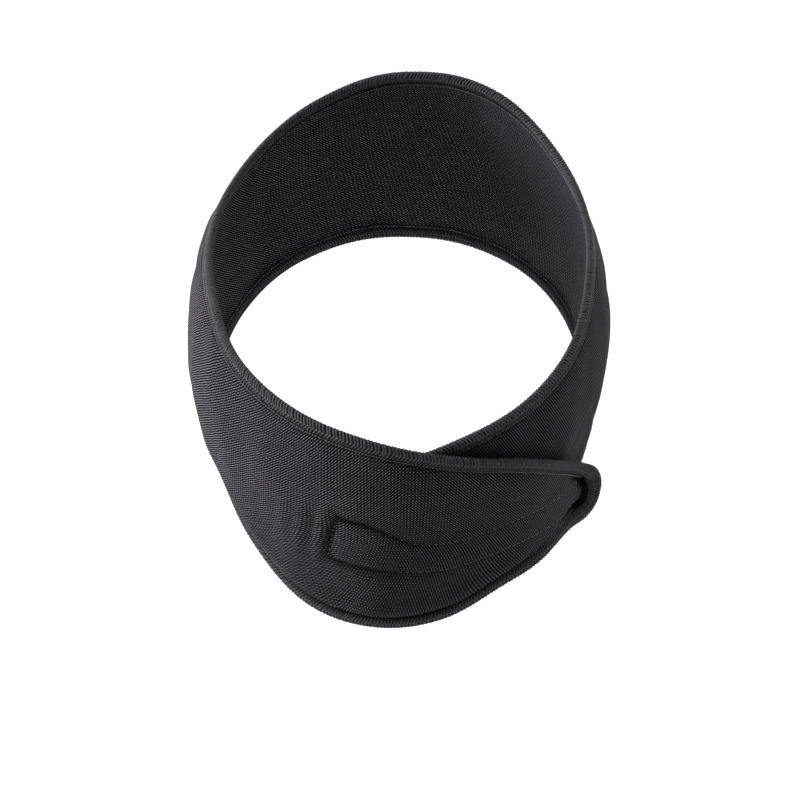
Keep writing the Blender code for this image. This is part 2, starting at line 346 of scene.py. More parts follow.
# Shallow forms of the cloth, in metres. The crease runs beside the edge stitches and is deeper along the
# lower edge of the outer tail. The ridge is the cloth over the hook tape, with a groove along its stitches,
# and folds of the cloth run out from its end. The lip is the tip's own edge, with a valley inside it. A
# pair of values named AT is the middle and the spread of a bell.
HELD_MARGIN = 0.0008
CREASE_DEPTH = 0.00035
CREASE_FROM_EDGE = 0.0044
CREASE_SPREAD = 0.0008
LOWER_CREASE_DEPTH = 0.0012
LOWER_CREASE_WIDENING = 0.3
LOWER_CREASE_AT = (8.0, 42.0)
SWELL_HEIGHT = 0.0003
SWELL_AT = (0.0090, 0.0035)
LOWER_SWELL = 2.0
RIDGE_HEIGHT = 0.0007
RIDGE_SHOULDER = 0.0016
RIDGE_SHOULDER_INSIDE = 0.7
RIDGE_FROM = 0.070
GROOVE_DEPTH = 0.0009
GROOVE_SPREAD = 0.0013
GROOVE_LEAST = 0.25
FOLD_DEPTH = 0.0020
FOLD_PITCH = 0.0080
FOLD_START = 0.001
FOLD_LEAD = 0.0014
FOLD_FADE = 0.0110
FOLD_MIDDLE = 0.004
FOLD_HEIGHT = 0.013
TIP_ZONE = 0.036
LIP_HEIGHT = 0.0018
VALLEY_DEPTH = 0.0040
VALLEY_AT = (0.0076, 0.0030)
TUCK_DEPTH = 0.0048
TUCK_ZONE = 0.0130
TUCK_BULGE = 0.0008
BULGE_AT = (1.4, 0.8)
TUCK_AT = (-75.0, 22.0)
SIDE_SWELL = 0.0018
SIDE_SWELL_AT = (-97.0, 13.0)
SIDE_SWELL_HIGH_AT = (0.037, 0.014)
LOW_FLARE = 0.0022
LOW_FLARE_ZONE = 0.012
LOW_FLARE_AT = (44.0, 11.0)
STIFF_FADE = 0.003
STIFF_SHARE = 0.8
WAVE_COLUMNS = ("height", "along", "across", "phase")
WAVES = (
    (0.00030, 0.047, 0.31, 0.3),
    (0.00022, 0.031, -0.12, 1.9),
    (0.00012, 0.019, 0.07, 4.1),
)


def edge_distance(turn, height):
    """Distance to the nearer long edge of the strip."""
    middle, width = course(turn)
    return width / 2 - np.abs(height - middle)


def near_end(turn):
    """Rises from 0 to 1 along the hook tape towards its end."""
    return ease((length_at(turn) - RIDGE_FROM) / (TAPE_END - RIDGE_FROM))


def tape_relief(turn, height):
    """The ridge over the hook tape, the groove along its stitches, and the folds that run out from its end:
    a cosine of the distance past the end, which fades with it."""
    outside = seam_distance(turn, height)
    grown = near_end(turn)
    ridge = RIDGE_HEIGHT * grown * (1 - ease(outside / RIDGE_SHOULDER + RIDGE_SHOULDER_INSIDE))
    groove = GROOVE_DEPTH * (GROOVE_LEAST + (1 - GROOVE_LEAST) * grown) * bell(outside, 0.0, GROOVE_SPREAD)
    past = past_end(turn, height)
    run_out = ease(past / FOLD_START) * np.exp(-np.maximum(past, 0) / FOLD_FADE)
    run_out = run_out * bell(height - tape_centre(turn), FOLD_MIDDLE, FOLD_HEIGHT)
    folds = run_out * np.cos(2 * np.pi * (past - FOLD_LEAD) / FOLD_PITCH)
    return ridge - groove - FOLD_DEPTH * folds


def to_rim(turn, height):
    """Distance to the outer tail's rim: to its long edge or to its tip, whichever is nearer, and round the
    tip's corners to the arc of the corner."""
    to_edge = edge_distance(turn, height)
    to_tip = length_at(turn)
    corner = TIP_CORNER_RADIUS
    from_centre = np.hypot(np.maximum(0.0, corner - to_edge), np.maximum(0.0, corner - to_tip))
    return np.where(from_centre > 0, corner - from_centre, np.minimum(to_edge, to_tip))


def near_tip(turn):
    """Falls from 1 at the outer tip to 0."""
    return 1 - ease(length_at(turn) / TIP_ZONE)


def tip_valley(turn, height):
    """The valley inside the lip of the tip, from 0 to 1. It follows the tip's outline."""
    return near_tip(turn) * bell(to_rim(turn, height), *VALLEY_AT)


def tip_relief(turn, height):
    """The lifted lip of the tip's edge and the valley inside it."""
    lip = LIP_HEIGHT * near_tip(turn) * np.maximum(0.0, 1 - to_rim(turn, height) / EDGE_WIDTH)
    return lip - VALLEY_DEPTH * tip_valley(turn, height)


def low_share(turn, height):
    """1 along the lower edge of the outer tail, and 0 far from it."""
    return (height < course(turn)[0]) * bell(turn, *LOWER_CREASE_AT)


def edge_crease(turn, height):
    """The crease beside the edge stitches, from 0 to 1, which is wider along the outer tail's lower edge."""
    widening = LOWER_CREASE_WIDENING * low_share(turn, height)
    spread = CREASE_SPREAD * (1 + widening)
    return bell(edge_distance(turn, height), CREASE_FROM_EDGE + CREASE_SPREAD * widening, spread)


def edge_relief(turn, height):
    """The lower edge on the left turns inwards, below a soft bulge, and the upper left swells. The lower edge
    beside the tip stands off a little. Both edges move by the square of the share of their zone."""
    middle, width = course(turn)
    from_low = height - middle + width / 2
    tucked = TUCK_BULGE * bell(from_low / TUCK_ZONE, *BULGE_AT)
    tucked = tucked - TUCK_DEPTH * np.maximum(0.0, 1 - from_low / TUCK_ZONE) ** 2
    swell = SIDE_SWELL * bell(turn, *SIDE_SWELL_AT)
    swell = swell * bell(height, *SIDE_SWELL_HIGH_AT)
    flare = LOW_FLARE * bell(turn, *LOW_FLARE_AT)
    flare = flare * np.maximum(0.0, 1 - from_low / LOW_FLARE_ZONE) ** 2
    return tucked * bell(turn, *TUCK_AT) + swell + flare


def relief(turn, height):
    """How far the cloth leaves its even form, outwards: the sum of soft waves, stiffened where a tape is sewn
    on, of a crease and a swell beside the edge stitches, and of the forms above."""
    length = length_at(turn)
    middle = course(turn)[0]
    to_edge = edge_distance(turn, height)
    past_stitches = np.minimum(to_edge, np.minimum(length, STRIP_LENGTH - length)) - EDGE_WIDTH
    free = ease((past_stitches + HELD_MARGIN) / (2 * HELD_MARGIN))
    above = np.where(turn < OUTER_TIP_TURN - 360, turn + 360, turn)
    stiff = 1 - ease((seam_distance(above, height) - TAPE_STITCH_INSET) / STIFF_FADE)
    waves = 0.0
    for row in WAVES:
        wave = dict(zip(WAVE_COLUMNS, row))
        turns = length / wave["along"] + (height - middle) / wave["across"]
        waves = waves + wave["height"] * np.sin(2 * np.pi * turns + wave["phase"])
    waves = waves * (1 - STIFF_SHARE * stiff) * ease(past_stitches / EDGE_WIDTH)
    low = low_share(turn, height)
    crease = (CREASE_DEPTH + LOWER_CREASE_DEPTH * low) * edge_crease(turn, height)
    swell = SWELL_HEIGHT * (1 + LOWER_SWELL * low) * bell(to_edge, *SWELL_AT)
    shown = tape_relief(turn, height) * (turn > INNER_TIP_TURN + 180)
    return waves + free * (swell - crease + shown) + tip_relief(turn, height) + edge_relief(turn, height)


def cloth_middle(turn, height):
    """Point on the middle of the shown cloth: the strip's middle with the shallow forms added."""
    return strip_middle(turn, height) + relief(turn, height)[..., None] * outward(strip_middle, turn, height)


def cloth_point(turn, height, out):
    """Point at a distance out from the middle of the shown cloth."""
    return cloth_middle(turn, height) + np.asarray(out)[..., None] * outward(cloth_middle, turn, height)


# The cloth's grid: columns across the strip, closer together round the tips' corners, and rows along it.
CORNER_STEPS = 10
CORNER_MOST = 0.45
CLOTH_COLUMN = 0.0016
EDGE_ROWS = 16
EDGE_ZONE = 0.013
FIELD_ROWS = 34

radius = min(TIP_CORNER_RADIUS, CORNER_MOST * TIP_WIDTH)
arc = np.radians(np.linspace(0, 90, CORNER_STEPS + 1))
even_lengths = np.linspace(radius, STRIP_LENGTH - radius, round(STRIP_LENGTH / CLOTH_COLUMN))
corner_lengths = radius * (1 - np.cos(arc[:-1]))
cloth_lengths = np.concatenate([corner_lengths, even_lengths, STRIP_LENGTH - corner_lengths[::-1]])
corner_insets = radius * (1 - np.sin(arc[:-1]))
cloth_insets = np.concatenate([corner_insets, 0 * even_lengths, corner_insets[::-1]])
cloth_turns = turn_at(cloth_lengths)


def cloth_rows():
    """Distance of each row of points from the lower edge: rows close together along both edges, and even
    rows between. The edge rows draw together where the strip is narrow."""
    width = course(cloth_turns)[1] - 2 * cloth_insets
    zone = EDGE_ZONE * np.minimum(1.0, width / (3 * EDGE_ZONE))
    near = np.linspace(0, 1, EDGE_ROWS + 1)[:-1, None] * zone
    field = zone + np.linspace(0, 1, FIELD_ROWS)[:, None] * (width - 2 * zone)
    return np.vstack([near, field, width - near[::-1]])


def grid_faces(rows, columns, round_rows=False, round_columns=False):
    """Corners of the faces between neighbouring rows and columns, as numbers of points and as numbers of
    places on an open grid. A round direction joins its last line of points to its first."""
    i = np.arange(rows if round_rows else rows - 1)[:, None, None]
    j = np.arange(columns if round_columns else columns - 1)[None, :, None]
    i = i + np.array([0, 0, 1, 1])
    j = j + np.array([0, 1, 1, 0])
    places = i * (columns + round_columns) + j
    points = (i % rows) * columns + j % columns
    return points.reshape(-1, 4), places.reshape(-1, 4)


def add_piece(name, points, faces, finish, uv, places=None):
    """A piece of the wrap from its points and groups of faces, with its cloth UV in metres. Places number the
    faces' corners on an open grid where a round grid shares them."""
    mesh = bpy.data.meshes.new(name)
    mesh.from_pydata(points.reshape(-1, 3).tolist(), [], sum((group.tolist() for group in faces), []))
    corners = np.concatenate([group.ravel() for group in places or faces])
    layer = mesh.uv_layers.new(name="cloth")
    layer.data.foreach_set("uv", uv.reshape(-1, 2)[corners].ravel().astype(np.float32))
    mesh.shade_smooth()
    mesh.materials.append(finish.material)
    piece = bpy.data.objects.new(name, mesh)
    bpy.context.scene.collection.objects.link(piece)
    return piece


class Finish:
    """A material with one Principled shader. node() adds any other node from its type, its settings and
    what goes into its sockets."""

    def __init__(self, name, constants):
        self.material = bpy.data.materials.new(name)
        self.material.use_nodes = True
        self.tree = self.material.node_tree
        self.shader = self.tree.nodes["Principled BSDF"]
        self.set(constants)

    def put(self, socket, value):
        if isinstance(value, Signal):
            value = value.socket
        if isinstance(value, bpy.types.NodeSocket):
            self.tree.links.new(value, socket)
        else:
            socket.default_value = value

    def set(self, sockets):
        for name, value in sockets.items():
            self.put(self.shader.inputs[name], value)

    def node(self, kind, settings, sockets):
        made = self.tree.nodes.new(kind)
        for name, value in settings.items():
            setattr(made, name, value)
        for name, value in sockets.items():
            self.put(made.inputs[name], value)
        return made

    def signal(self, kind, settings, sockets, output=0):
        return Signal(self, self.node(kind, settings, sockets).outputs[output])

    def attribute(self, name):
        return self.signal("ShaderNodeAttribute", {"attribute_name": name}, {}, "Fac")

    def place(self):
        """The two directions of the piece's own UV, in metres, and the UV itself."""
        uv = self.node("ShaderNodeUVMap", {"uv_map": "cloth"}, {}).outputs[0]
        parts = self.node("ShaderNodeSeparateXYZ", {}, {0: uv})
        return Signal(self, parts.outputs[0]), Signal(self, parts.outputs[1]), uv

    def noise(self, where, scale, detail=2.0, roughness=0.5):
        sockets = {"Vector": where, "Scale": scale, "Detail": detail, "Roughness": roughness}
        return self.signal("ShaderNodeTexNoise", {"noise_dimensions": "3D"}, sockets)

    def mixed(self, share, first, second):
        """One colour at share 0 and another at share 1."""
        node = self.node("ShaderNodeMix", {"data_type": "RGBA"}, {0: share, 6: first, 7: second})
        return node.outputs[2]

    def bumped(self, height, distance):
        return self.node("ShaderNodeBump", {}, {"Height": height, "Distance": distance}).outputs[0]


class Signal:
    """A number that varies over a surface. Arithmetic on it adds Math nodes."""

    def __init__(self, finish, socket):
        self.finish = finish
        self.socket = socket

    def math(self, operation, *others):
        sockets = dict(enumerate((self, *others)))
        return self.finish.signal("ShaderNodeMath", {"operation": operation}, sockets)

    def __add__(self, other):
        return self.math("ADD", other)

    def __sub__(self, other):
        return self.math("SUBTRACT", other)

    def __mul__(self, other):
        return self.math("MULTIPLY", other)

    def __truediv__(self, other):
        return self.math("DIVIDE", other)

    def __rsub__(self, other):
        return self * -1.0 + other

    __radd__ = __add__
    __rmul__ = __mul__

    def wave(self):
        """Cosine of the number as whole turns."""
        return (self * (2 * math.pi)).math("COSINE")

    def rise(self, low, high):
        """Smooth rise from 0 at low to 1 at high."""
        settings = {"interpolation_type": "SMOOTHSTEP"}
        return self.finish.signal("ShaderNodeMapRange", settings, {0: self, 1: low, 2: high, 3: 0.0, 4: 1.0})


# Knit: one hole to each pitch both ways on the flat cloth. A hole is darkest in the middle of its cell:
# the holes are painted near black, for the openings and the shade seen through them. The loops of thread
# between holes stand up and catch the light, and their crowns take a painted highlight colour. Loops lean
# one way on the outer tail, and the other way further round, where the cloth is turned to the light. Ranges
# of lengths along the strip say where the cloth turns to the light and where it turns away again: the
# painted highlights, and the painted dark of the holes, are strongest where it is turned to the light.
# Drift is in cells of the knit, and grain is a share.
WALE_PITCH = 0.00116
ROW_PITCH = 0.00128
HOLE_MODULATION = 3.0
LOOP_LEAN = 0.35
# The cloth turns to the light over the first range and away over the second. Where it is turned away, the
# holes are painted less dark by their share, and the loops' painted highlights are weaker.
TURNS_TO_LIGHT = (0.085, 0.140)
TURNS_AWAY = (0.450, 0.520)
HOLE_RANGE = (-0.10, 0.40)
UNLIT_HOLE_SHARE = 0.65
LOOP_RANGE = (0.15, 0.80)
LOOP_LIGHT_SHARE = 0.6
TURNED_AWAY_LOOP_LOSS = 0.15
DRIFT_SCALE = 260.0
DRIFT = 0.22
GRAIN_SCALE = 900.0
GRAIN_OF_KNIT = 0.4
GRAIN_OF_COLOR = 2.2
PATCH_SCALE = 35.0
# Strengths of the painted shade along the hook tape's stitch line and in the creases, and how far the seam
# sinks into the bump.
SEAM_RANGE = (0.0001, 0.0015)
SEAM_SHADE = 0.6
SEAM_SINK = 0.9
CREASE_SHADE = 0.97
# Colours: the thread's own black, a painted highlight colour for the loops' crowns, and one near black for
# the holes and for the painted shade.
THREAD_COLOR = (0.020, 0.0195, 0.021, 1.0)
LOOP_HIGHLIGHT_COLOR = (0.210, 0.204, 0.226, 1.0)
HOLE_AND_SHADE_COLOR = (0.0002, 0.0002, 0.0002, 1.0)
KNIT_DEPTH = 0.0006
FILAMENT_PITCH = 0.00016
FILAMENT_SLANT = 1.7


def mesh_knit():
    """Finish of the mesh cloth. The knit is the cosine along the strip times one plus a share of the cosine
    across it, so holes and raised loops take turns, and a product of sines leans them. Fine slanted waves
    are the thread's filaments."""
    cloth = Finish("black_mesh_knit", {
        "Specular IOR Level": 0.02,
        "Coat Roughness": 0.45,
        "Coat IOR": 1.35,
        "Sheen Weight": 0.01,
        "Sheen Roughness": 0.5,
    })
    along, across, uv = cloth.place()
    drift = cloth.noise(uv, DRIFT_SCALE) * (2 * DRIFT) - DRIFT
    grain = cloth.noise(uv, GRAIN_SCALE, 1.0) - 0.5
    wales = along / WALE_PITCH + drift
    rows = across / ROW_PITCH + drift
    # How far the cloth is turned to the light along the strip: it sets the loops' lean, and the strength of
    # the painted highlights and painted shade.
    far = along.rise(*TURNS_AWAY)
    turned_to_light = along.rise(*TURNS_TO_LIGHT) * (1.0 - far)
    lean = turned_to_light * (2 * LOOP_LEAN) - LOOP_LEAN
    upright = wales.wave() * (rows.wave() * HOLE_MODULATION + 1.0)
    leaning = (wales - 0.25).wave() * (rows - 0.25).wave() * lean * (-2 * HOLE_MODULATION)
    knit = (upright + leaning) / (1 + HOLE_MODULATION) + grain * GRAIN_OF_KNIT
    # The holes are painted dark, less dark where the cloth is turned from the light, and the loops' painted
    # highlights are weaker there.
    hole = knit.rise(*HOLE_RANGE) * (turned_to_light * (1 - UNLIT_HOLE_SHARE) + UNLIT_HOLE_SHARE)
    loop = (0.0 - knit).rise(*LOOP_RANGE) * ((turned_to_light + 1.0) * LOOP_LIGHT_SHARE - far * TURNED_AWAY_LOOP_LOSS)
    patches = cloth.noise(uv, PATCH_SCALE, 3.0)
    # Painted shade along the hook tape's stitch line, where the cloth is turned to the light, and in the
    # creases of the painted crease shade attribute.
    seam = 1.0 - cloth.attribute("seam_distance").math("ABSOLUTE").rise(*SEAM_RANGE)
    shade = (1.0 - seam * turned_to_light * SEAM_SHADE) * (1.0 - cloth.attribute("painted_crease_shade") * CREASE_SHADE)
    worn = (patches * 0.5 + 0.75) * (grain * GRAIN_OF_COLOR + 1.0)
    # The loops' crowns take the painted highlight colour, and the painted shade then darkens the colour to
    # near black.
    thread = cloth.mixed(loop * worn * shade, THREAD_COLOR, LOOP_HIGHLIGHT_COLOR)
    thread = cloth.mixed((1.0 - shade) * 0.95, thread, HOLE_AND_SHADE_COLOR)
    slanted = along / FILAMENT_PITCH + across / (FILAMENT_PITCH * FILAMENT_SLANT) + drift * 6.0
    height = (loop - hole) * 0.5 + slanted.wave() * 0.05 - seam * SEAM_SINK
    cloth.set({
        "Base Color": cloth.mixed(hole, thread, HOLE_AND_SHADE_COLOR),
        "Roughness": 0.62 + hole * 0.3 + patches * 0.1,
        "Coat Weight": loop * shade * 0.35,
        "Normal": cloth.bumped(height, KNIT_DEPTH),
    })
    return cloth


# How the flat cloth is stretched when worn: its share of the worn length, at lengths from the outer tip.
# Past the tape's end the knit is turned a little, and along the lower edge it is sheared.
STRETCH_COLUMNS = ("length", "share")
STRETCH = (
    (0.000, 1.15),
    (0.070, 1.10),
    (0.110, 1.00),
    (0.150, 0.93),
    (0.185, 0.80),
    (0.260, 0.78),
    (0.500, 0.80),
    (0.600, 1.10),
    (0.800, 1.20),
)
KNIT_TURN = 0.20
KNIT_TURN_FROM = 0.122
KNIT_TURN_RUN = 0.040
SHEAR = 0.58
SHEAR_TOP = -0.014
SHEAR_RUN = 0.026
SHEAR_LEFT = 0.200
SHEAR_RIGHT = 0.045
SHEAR_FADE = 0.040
ROW_TILT = 0.45
STRETCH_POINTS = 4000


def flat_place(length, height):
    """Place on the flat cloth of a point of the worn strip. The lengths are summed from the stretch table.
    The turn moves the knit along the strip in step with the height, and the shear by the sum of a smooth
    rise."""
    steps = np.linspace(0, STRIP_LENGTH, STRETCH_POINTS)
    lengths, shares = (column(STRETCH, STRETCH_COLUMNS, name) for name in STRETCH_COLUMNS)
    share = smooth(steps, lengths, shares)
    flat = running_sum((share[1:] + share[:-1]) / 2 * np.diff(steps))
    turned = KNIT_TURN * ease((length - KNIT_TURN_FROM) / KNIT_TURN_RUN) * height
    t = np.clip((SHEAR_TOP - height) / SHEAR_RUN, 0.0, None)
    sheared = SHEAR * SHEAR_RUN * np.where(t < 1, t**3 - t**4 / 2, t - 0.5)
    left = 1 - ease((length - SHEAR_LEFT) / SHEAR_FADE)
    window = left * ease((length - SHEAR_RIGHT) / SHEAR_FADE)
    middle = course(turn_at(length))[0]
    along = np.interp(length, steps, flat) + turned - sheared * window
    return np.stack([along, height - ROW_TILT * middle + BAND_WIDTH], axis=-1)


cloth_heights = course(cloth_turns)[0] - course(cloth_turns)[1] / 2 + cloth_insets + cloth_rows()
cloth_grid_turns = cloth_turns + 0 * cloth_heights
cloth_grid_lengths = cloth_lengths + 0 * cloth_heights
cloth_faces, _ = grid_faces(*cloth_heights.shape)
cloth_uv = flat_place(cloth_grid_lengths, cloth_heights)
cloth_points = cloth_middle(cloth_grid_turns, cloth_heights)
mesh_cloth = add_piece("mesh_cloth", cloth_points, [cloth_faces], mesh_knit(), cloth_uv)
wall = mesh_cloth.modifiers.new("wall", "SOLIDIFY")
wall.thickness = CLOTH_THICKNESS
wall.offset = 0.0

# Painted shade in the creases: where the cloth is folded into itself, its colour is painted darker for the
# shade in the fold, and the holes and loops no longer show.
EDGE_SHADE = 0.6
FIRST_FOLD_SHADE = 0.6
FOLD_AT = (FOLD_LEAD + 0.0008, 0.0016)
FIRST_FOLD_HEIGHT = 0.7 * FOLD_HEIGHT
TAPE_SHADE = 0.38
BESIDE_TAPE_AT = (0.0010, 0.0022)
VALLEY_SHADE = 1.8


def painted_crease_shade(turn, height):
    """How much painted shade a place takes for lying in a crease, from 0 to 1: the most of the creases beside
    the edge, at the first fold past the tape's end, beside the tape and inside the tip's lip."""
    beside_edge = edge_crease(turn, height) * (EDGE_SHADE + (1 - EDGE_SHADE) * low_share(turn, height))
    first_fold = FIRST_FOLD_SHADE * bell(past_end(turn, height), *FOLD_AT)
    first_fold = first_fold * bell(height - tape_centre(turn), FOLD_MIDDLE, FIRST_FOLD_HEIGHT)
    beside_tape = bell(seam_distance(turn, height), *BESIDE_TAPE_AT)
    beside_tape = TAPE_SHADE * near_end(turn) * beside_tape
    in_valley = np.minimum(1.0, VALLEY_SHADE * tip_valley(turn, height))
    return np.maximum.reduce([beside_edge, first_fold, beside_tape, in_valley])


# The cloth's points carry the seam distance and the painted crease shade as attributes.
for name, values in (("seam_distance", seam_distance), ("painted_crease_shade", painted_crease_shade)):
    numbers = values(cloth_grid_turns, cloth_heights).ravel().astype(np.float32)
    mesh_cloth.data.attributes.new(name, "FLOAT", "POINT").data.foreach_set("value", numbers)
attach(mesh_cloth, "root")
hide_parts("mesh_band")


# ---- Overlocked edge ----
# Textured nylon thread, overlocked round the whole raw edge of the strip in one closed loop. The looper
# threads wrap the edge in slanted bars, one crossing to each stitch, and a needle thread holds them along
# the inner side, where it pulls the cloth into a groove.
ROLL_COLUMNS = ("reach", "out")
ROLL = (
    (-0.0038, 0.00078),
    (-0.0035, 0.00108),
    (-0.0029, 0.00122),
    (-0.0023, 0.00112),
    (-0.0018, 0.00100),
    (-0.0014, 0.00114),
    (-0.0008, 0.00122),
    (-0.0002, 0.00106),
    (0.0003, 0.00070),
    (0.0006, 0.0),
)
STITCH_PITCH = 0.0013
TIP_SPACING = 0.42
TIP_SPACING_AT = (0.032, 0.020)
OUTLINE_POINTS = 4000
OUTLINE_REACH = 3


def edge_outline():
    """Turn and height along the strip's edge, at even arc lengths: out along the lower edge from the outer
    tip, round the inner tip, and back along the upper edge. The first point comes again at the end."""
    turns = turn_at(cloth_lengths)
    middle, width = course(turns)
    low = middle - width / 2 + cloth_insets
    high = middle + width / 2 - cloth_insets
    turn = np.concatenate([turns, turns[::-1], turns[:1]])
    height = np.concatenate([low, high[::-1], low[:1]])
    edge = strip_middle(turn, height)
    arc = running_sum(np.linalg.norm(np.diff(edge, axis=0), axis=1))
    even = np.linspace(0, arc[-1], OUTLINE_POINTS + 1)
    return even, np.interp(even, arc, turn), np.interp(even, arc, height)


outline_arc, outline_turn, outline_height = edge_outline()
OUTLINE_LENGTH = outline_arc[-1]
outline_edge = strip_middle(outline_turn, outline_height)[:-1]
outline_next = np.roll(outline_edge, -OUTLINE_REACH, axis=0)
outline_along = unit(outline_next - np.roll(outline_edge, OUTLINE_REACH, axis=0))
outline_out = outward(strip_middle, outline_turn, outline_height)[:-1]
outline_away = unit(np.cross(outline_out, outline_along))
outline_away = np.vstack([outline_away, outline_away[:1]])


def edge_point(arc, reach, out):
    """Point at an arc length along the strip's edge, a reach beyond the edge line and a distance out from
    the middle of the wall. The reach is taken along the cloth's surface: the turn and height that move a
    point by it solve two linear equations."""
    arc = np.mod(arc, OUTLINE_LENGTH)
    turn = np.interp(arc, outline_arc, outline_turn)
    height = np.interp(arc, outline_arc, outline_height)
    away = np.stack([np.interp(arc, outline_arc, outline_away[:, k]) for k in range(3)], axis=-1)
    by_turn, by_height = slopes_of(strip_middle, turn, height)
    move = unit(away) * np.asarray(reach)[..., None]
    pairs = ((by_turn, by_turn), (by_turn, by_height), (by_height, by_height))
    tt, th, hh = (np.sum(a * b, axis=-1) for a, b in pairs)
    mt, mh = (np.sum(move * a, axis=-1) for a in (by_turn, by_height))
    spread = tt * hh - th * th
    turn = turn + (hh * mt - th * mh) / spread
    height = height + (tt * mh - th * mt) / spread
    return cloth_point(turn, height, out)


roll_reach = column(ROLL, ROLL_COLUMNS, "reach")
roll_out = column(ROLL, ROLL_COLUMNS, "out")
roll_reach = np.concatenate([roll_reach, roll_reach[-2::-1]])
roll_out = np.concatenate([roll_out, -roll_out[-2::-1]])
roll_round = running_sum(np.hypot(np.diff(roll_reach), np.diff(roll_out)))
ROLL_AROUND = roll_round[-1]
ROLL_SLOPE_STEP = 0.02


def roll_section(around):
    """Reach and distance out at a share of the way round the roll's section."""
    place = around * ROLL_AROUND
    return np.array([np.interp(place, roll_round, roll_reach), np.interp(place, roll_round, roll_out)])


def roll_point(arc, around, lift):
    """Point on the rolled edge at an arc length and a share of the way round its section, from the outer
    face over the fold to the inner face, lifted off the roll's surface."""
    reach, out = roll_section(around)
    by_reach, by_out = roll_section(around + ROLL_SLOPE_STEP) - roll_section(around - ROLL_SLOPE_STEP)
    size = np.hypot(by_reach, by_out)
    return edge_point(arc, reach - lift * by_out / size, out + lift * by_reach / size)


THREAD_BLACK = (0.010, 0.010, 0.010, 1.0)
THREAD_WORN = (0.190, 0.185, 0.195, 1.0)
# Painted highlight colour, for the glints on the needle and lockstitch threads.
THREAD_HIGHLIGHT_COLOR = (0.42, 0.41, 0.43, 1.0)
FIBRE_PITCH = 0.00022
FIBRE_SLANT_PITCH = 0.0009
FIBRE_SHARE = 0.12
FIBRE_DEPTH = 0.00012


def sewing_thread(name, worn, color=THREAD_WORN):
    """Finish of a sewing thread: textured filaments as fine waves along the UV, with soft patches. The worn
    value says how much of its colour the thread takes over black: a worn grey for the overlock threads, and a
    painted highlight colour for the glints of the needle and lockstitch threads."""
    thread = Finish(name, {
        "Specular IOR Level": 0.08,
        "Sheen Weight": 0.05,
        "Sheen Roughness": 0.4,
        "Sheen Tint": (0.85, 0.85, 0.92, 1.0),
    })
    along, across, uv = thread.place()
    patches = thread.noise(uv, 400.0, 3.0)
    fibre = (along / FIBRE_PITCH + across / FIBRE_SLANT_PITCH + patches * 1.5).wave()
    thread.set({
        "Base Color": thread.mixed(patches * worn + fibre * FIBRE_SHARE, THREAD_BLACK, color),
        "Roughness": 0.6 + patches * 0.2,
        "Normal": thread.bumped(fibre * 0.5 + patches, FIBRE_DEPTH),
    })
    return thread


ROLL_COLUMN = 0.0016
ROLL_CLOSING = 0.001

roll_columns = round(OUTLINE_LENGTH / ROLL_COLUMN)
roll_arc = np.arange(roll_columns) / roll_columns * OUTLINE_LENGTH
roll_shares = roll_round[:, None] / ROLL_AROUND
roll_points = roll_point(roll_arc + 0 * roll_shares, roll_shares + 0 * roll_arc, 0.0)
roll_faces, roll_places = grid_faces(len(roll_shares), roll_columns, True, True)
roll_uv_along = np.append(roll_arc, OUTLINE_LENGTH)
roll_uv_round = np.append(roll_round, ROLL_AROUND + ROLL_CLOSING)
roll_uv = np.stack(np.meshgrid(roll_uv_along, roll_uv_round), axis=-1)
ground_thread = sewing_thread("overlock_ground_thread", worn=0.15)
overlock_roll = add_piece("overlock_roll", roll_points, [roll_faces], ground_thread, roll_uv, [roll_places])
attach(overlock_roll, "root")
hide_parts("edge_binding")

THREAD_SIDES = 5
THREAD_END = 0.25
THREAD_TAPER = 0.4
THREAD_UV_SHIFT = 0.0137
LIFTED = 0.0001


def add_threads(name, finish, paths, lifted, width, height, slot):
    """Many short threads as one piece. Each row of paths is the middle line of one thread, and lifted is the
    same line further off the cloth. The section is a flat oval, and both ends are small and closed."""
    count, stations = paths.shape[:2]
    forward = unit(np.gradient(paths, axis=1))
    across = unit(np.cross(forward, lifted - paths))
    up = np.cross(across, forward)
    t = np.linspace(0, 1, stations)
    taper = np.maximum(THREAD_END, np.sin(np.pi * t) ** THREAD_TAPER)[None, :, None, None]
    angle = 2 * np.pi * np.arange(THREAD_SIDES) / THREAD_SIDES
    sideways = width / 2 * np.cos(angle)
    section = sideways[:, None] * across[:, :, None] + height / 2 * np.sin(angle)[:, None] * up[:, :, None]
    points = paths[:, :, None] + taper * section
    one, _ = grid_faces(stations, THREAD_SIDES, False, True)
    ring = np.arange(THREAD_SIDES)[None]
    starts = np.arange(count)[:, None] * stations * THREAD_SIDES
    sides = (one[None] + starts[:, :, None]).reshape(-1, 4)
    caps = np.vstack([ring + starts, ring[:, ::-1] + (stations - 1) * THREAD_SIDES + starts])
    along = np.cumsum(np.linalg.norm(np.diff(paths, axis=1, prepend=paths[:, :1]), axis=2), axis=1)
    along = (along + np.arange(count)[:, None] * THREAD_UV_SHIFT)[:, :, None]
    uv = np.stack([along + 0 * angle, 0 * along + sideways], axis=-1)
    piece = add_piece(name, points, [sides, caps], finish, uv)
    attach(piece, "root")
    return piece


# The stitches are evenly spaced along the strip, and wider apart on the upper edge before the outer tip.
# The number of stitches up to an arc length is the sum of their density.
wider_apart = TIP_SPACING * bell(OUTLINE_LENGTH - outline_arc, *TIP_SPACING_AT)
stitch_density = (1 - wider_apart) / STITCH_PITCH
stitch_count = running_sum((stitch_density[1:] + stitch_density[:-1]) / 2 * np.diff(outline_arc))
STITCHES = round(stitch_count[-1])


def stitch_arc(number):
    """Arc length along the strip's edge at a number of stitches."""
    turns, rest = np.divmod(number, STITCHES)
    return OUTLINE_LENGTH * turns + np.interp(rest / STITCHES * stitch_count[-1], stitch_count, outline_arc)


